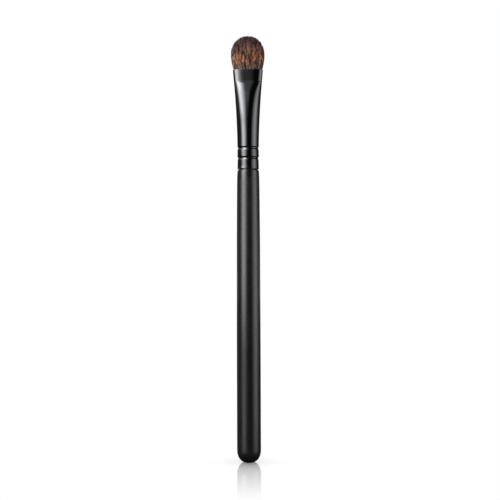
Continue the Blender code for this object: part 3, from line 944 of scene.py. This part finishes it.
def makeWorld(look):
    world = bpy.data.worlds.new("studio")
    scene.world = world
    world.use_nodes = True
    tree = world.node_tree
    path = addNode(tree, "LightPath").outputs
    turned = addNode(tree, "VectorRotate", {"Vector": addNode(tree, "TexCoord").outputs["Generated"],
                                            "Angle": -math.radians(cameraLook["side"])}).outputs[0]
    way = addNode(tree, "SeparateXYZ", {0: turned}).outputs
    mirrored = mathNode(tree, "MAXIMUM", path["Is Glossy Ray"], path["Is Transmission Ray"])
    direct = mathNode(tree, "MAXIMUM", path["Is Camera Ray"], path["Is Singular Ray"])
    behind = remap(tree, way["Y"], *look["backdrop"], smooth=True)
    white = mathNode(tree, "MAXIMUM", direct, multiply(tree, mirrored, behind))

    aside = mathNode(tree, "ABSOLUTE", way["X"])
    side = remap(tree, aside, *look["sideRise"], look["mirrorFront"], look["mirrorSide"])
    left = remap(tree, way["X"], *look["topEdge"], smooth=True)
    top = multiply(tree, remap(tree, way["Z"], *look["topRise"], 0, look["mirrorTop"]), left)
    farLeft = remap(tree, way["X"], *look["highEdge"], smooth=True)
    high = multiply(tree, remap(tree, way["Z"], *look["highRise"], 0, look["mirrorHigh"]), farLeft)
    glossy = multiply(tree, mathNode(tree, "ADD", side, mathNode(tree, "ADD", top, high)), mirrored)
    dim = addShare(tree, mathNode(tree, "SUBTRACT", 1.0, mirrored), look["ambient"], glossy)
    background = tree.nodes["Background"]
    background.inputs["Color"].default_value = (1, 1, 1, 1)
    tree.links.new(mathNode(tree, "MAXIMUM", white, dim), background.inputs["Strength"])


makeWorld(worldLook)


# Floor: pale and polished, with a soft shadow where the brush stands

floorLook = {
    "size": 6.0,
    "mirror": 0.6,  # at the foot of the brush
    "mirrorFade": 52 * mm,
    "contactShadow": 0.5,
    "contactReach": 7 * mm,
    "softShadow": 0.13,
    "softReach": (19 * mm, 8 * mm),  # to the sides, and to the front and back
    "sheenNear": 0.65,  # what the brush sees in the floor close by, as a share of the sheen further off
    "sheenReach": 80 * mm,
    "sheenAcross": (0.61, 1.25),  # from 10 mm left of the brush to 10 mm right of it
    "backdrop": (0.6, 1.2),  # how far behind the brush the floor turns into the backdrop
}


def shadeSeenFloor(tree, look, place, distance):  # what the camera sees: white, shadows and a reflection
    openness = addNode(tree, "AmbientOcclusion", {"Distance": look["contactReach"]}, samples=16).outputs["AO"]
    contact = remap(tree, openness, 0, 1, 1 - look["contactShadow"], 1)
    oval = addNode(tree, "VectorMath", {0: place, 1: (*look["softReach"], 1)}, operation="DIVIDE").outputs[0]
    oval = addNode(tree, "VectorMath", {0: oval}, operation="LENGTH").outputs["Value"]
    soft = mathNode(tree, "POWER", remap(tree, oval, 0, 1, 1, 0), 1.3)
    soft = remap(tree, soft, 0, 1, 1, 1 - look["softShadow"])
    white = addNode(tree, "Emission", {"Strength": multiply(tree, contact, soft)}).outputs[0]
    mirror = addNode(tree, "BsdfGlossy", {"Color": (1, 1, 1, 1), "Roughness": 0.0}).outputs[0]
    share = mathNode(tree, "POWER", remap(tree, distance, 0, look["mirrorFade"], 1, 0), 1.2)
    share = multiply(tree, share, look["mirror"])
    return addNode(tree, "MixShader", {0: share, 1: white, 2: mirror}).outputs[0]


def shadeLitFloor(tree, look, place, distance):  # what the brush gets back from it: a dull sheen at a slant
    dull = addNode(tree, "BsdfDiffuse", {"Color": (0.02, 0.02, 0.02, 1)}).outputs[0]
    polished = addNode(tree, "BsdfGlossy", {"Color": (1, 1, 1, 1), "Roughness": 0.1}).outputs[0]
    slant = remap(tree, addNode(tree, "LayerWeight").outputs["Facing"], 0.5, 0.98)
    near = remap(tree, distance, 0, look["sheenReach"], look["sheenNear"], 1)
    across = remap(tree, axisOf(tree, place, "X"), -10 * mm, 10 * mm, *look["sheenAcross"])
    sheen = multiply(tree, slant, slant, near, across)
    return addNode(tree, "MixShader", {0: sheen, 1: dull, 2: polished}).outputs[0]


def makePaleFloor(look):
    material = bpy.data.materials.new("paleFloor")
    material.use_nodes = True
    tree = material.node_tree
    tree.nodes.remove(tree.nodes["Principled BSDF"])
    path = addNode(tree, "LightPath").outputs
    place = addNode(tree, "NewGeometry").outputs["Position"]
    distance = addNode(tree, "VectorMath", {0: place}, operation="LENGTH").outputs["Value"]
    seen = shadeSeenFloor(tree, look, place, distance)
    lit = shadeLitFloor(tree, look, place, distance)
    behind = remap(tree, axisOf(tree, place, "Y"), *look["backdrop"], smooth=True)
    mirrored = mathNode(tree, "MAXIMUM", path["Is Glossy Ray"], path["Is Transmission Ray"])
    direct = mathNode(tree, "MAXIMUM", path["Is Camera Ray"], multiply(tree, mirrored, behind))
    mixed = addNode(tree, "MixShader", {0: direct, 1: lit, 2: seen}).outputs[0]
    tree.links.new(mixed, tree.nodes["Material Output"].inputs["Surface"])
    return material


def makeFloor(look, material):
    bm = bmesh.new()
    bmesh.ops.create_grid(bm, x_segments=1, y_segments=1, size=look["size"] / 2)
    mesh = bpy.data.meshes.new("floor")
    bm.to_mesh(mesh)
    bm.free()
    mesh.materials.append(material)
    floor = bpy.data.objects.new("floor", mesh)
    scene.collection.objects.link(floor)


makeFloor(floorLook, makePaleFloor(floorLook))
print("stage set")
